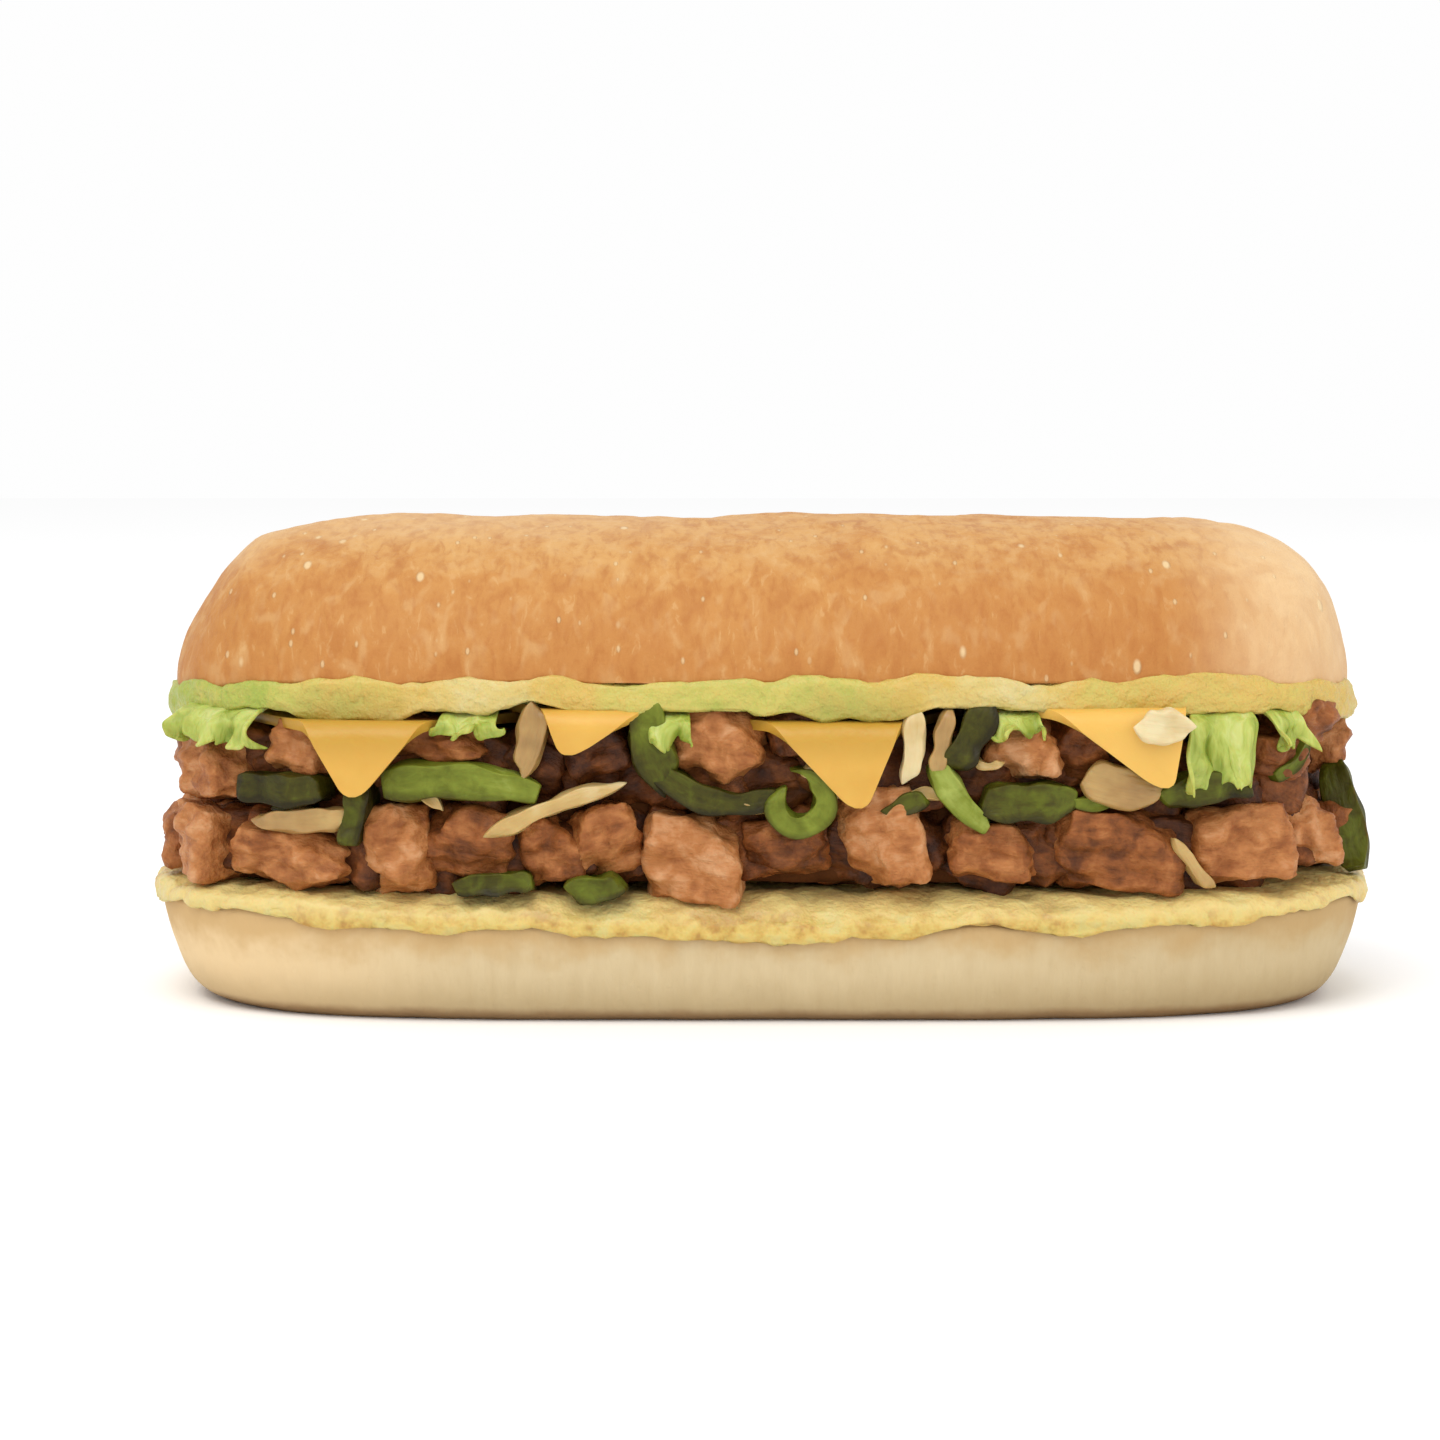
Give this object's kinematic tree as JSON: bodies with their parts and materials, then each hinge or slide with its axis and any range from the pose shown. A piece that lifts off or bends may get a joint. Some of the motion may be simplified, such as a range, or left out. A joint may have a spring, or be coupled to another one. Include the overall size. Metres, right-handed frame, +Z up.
{
  "type": "submarine sandwich",
  "caption": "Submarine sandwich: a split soft roll filled with chunks of grilled steak, green pepper, onion, cheese corners, lettuce and yellow sauce.",
  "frame": {"origin": "centre of the bounding box's bottom face, on the surface that the sandwich rests on", "axes": "+X along the roll, to the right in the picture; -Y towards the viewer; +Z up"},
  "size_m": [0.1638, 0.0782, 0.0642],
  "materials": {
    "roll_crust": "baked golden brown crust with pale flecks, satin",
    "roll_side": "pale soft bread with a toasted rim, matt",
    "sauce": "yellow sauce, glossy",
    "steak": "browned grilled meat, moist",
    "cheese": "orange-yellow sliced cheese, smooth",
    "pepper": "grilled green pepper, glossy",
    "onion": "grilled onion, translucent and glossy",
    "lettuce": "light green lettuce, thin and moist"
  },
  "bodies": {
    "root": {"roll_lower_half": "roll_side", "roll_upper_half": "roll_crust", "sauce_lower": "sauce", "sauce_upper": "sauce", "steak_filling": "steak", "lettuce": "lettuce", "cheese_1": "cheese", "cheese_2": "cheese", "cheese_3": "cheese", "cheese_4": "cheese", "pepper_front_1": "pepper", "pepper_front_2": "pepper", "pepper_front_3": "pepper", "pepper_front_4": "pepper", "pepper_front_5": "pepper", "pepper_front_6": "pepper", "pepper_front_7": "pepper", "pepper_front_8": "pepper", "pepper_front_9": "pepper", "pepper_front_10": "pepper", "pepper_front_11": "pepper", "pepper_front_12": "pepper", "pepper_front_13": "pepper", "pepper_back_1": "pepper", "pepper_back_2": "pepper", "pepper_back_3": "pepper", "pepper_back_4": "pepper", "pepper_back_5": "pepper", "pepper_back_6": "pepper", "pepper_back_7": "pepper", "onion_front_1": "onion", "onion_front_2": "onion", "onion_front_3": "onion", "onion_front_4": "onion", "onion_front_5": "onion", "onion_front_6": "onion", "onion_front_7": "onion", "onion_front_8": "onion", "onion_back_1": "onion", "onion_back_2": "onion", "onion_back_3": "onion", "onion_back_4": "onion", "onion_back_5": "onion"}
  },
  "joints": []
}
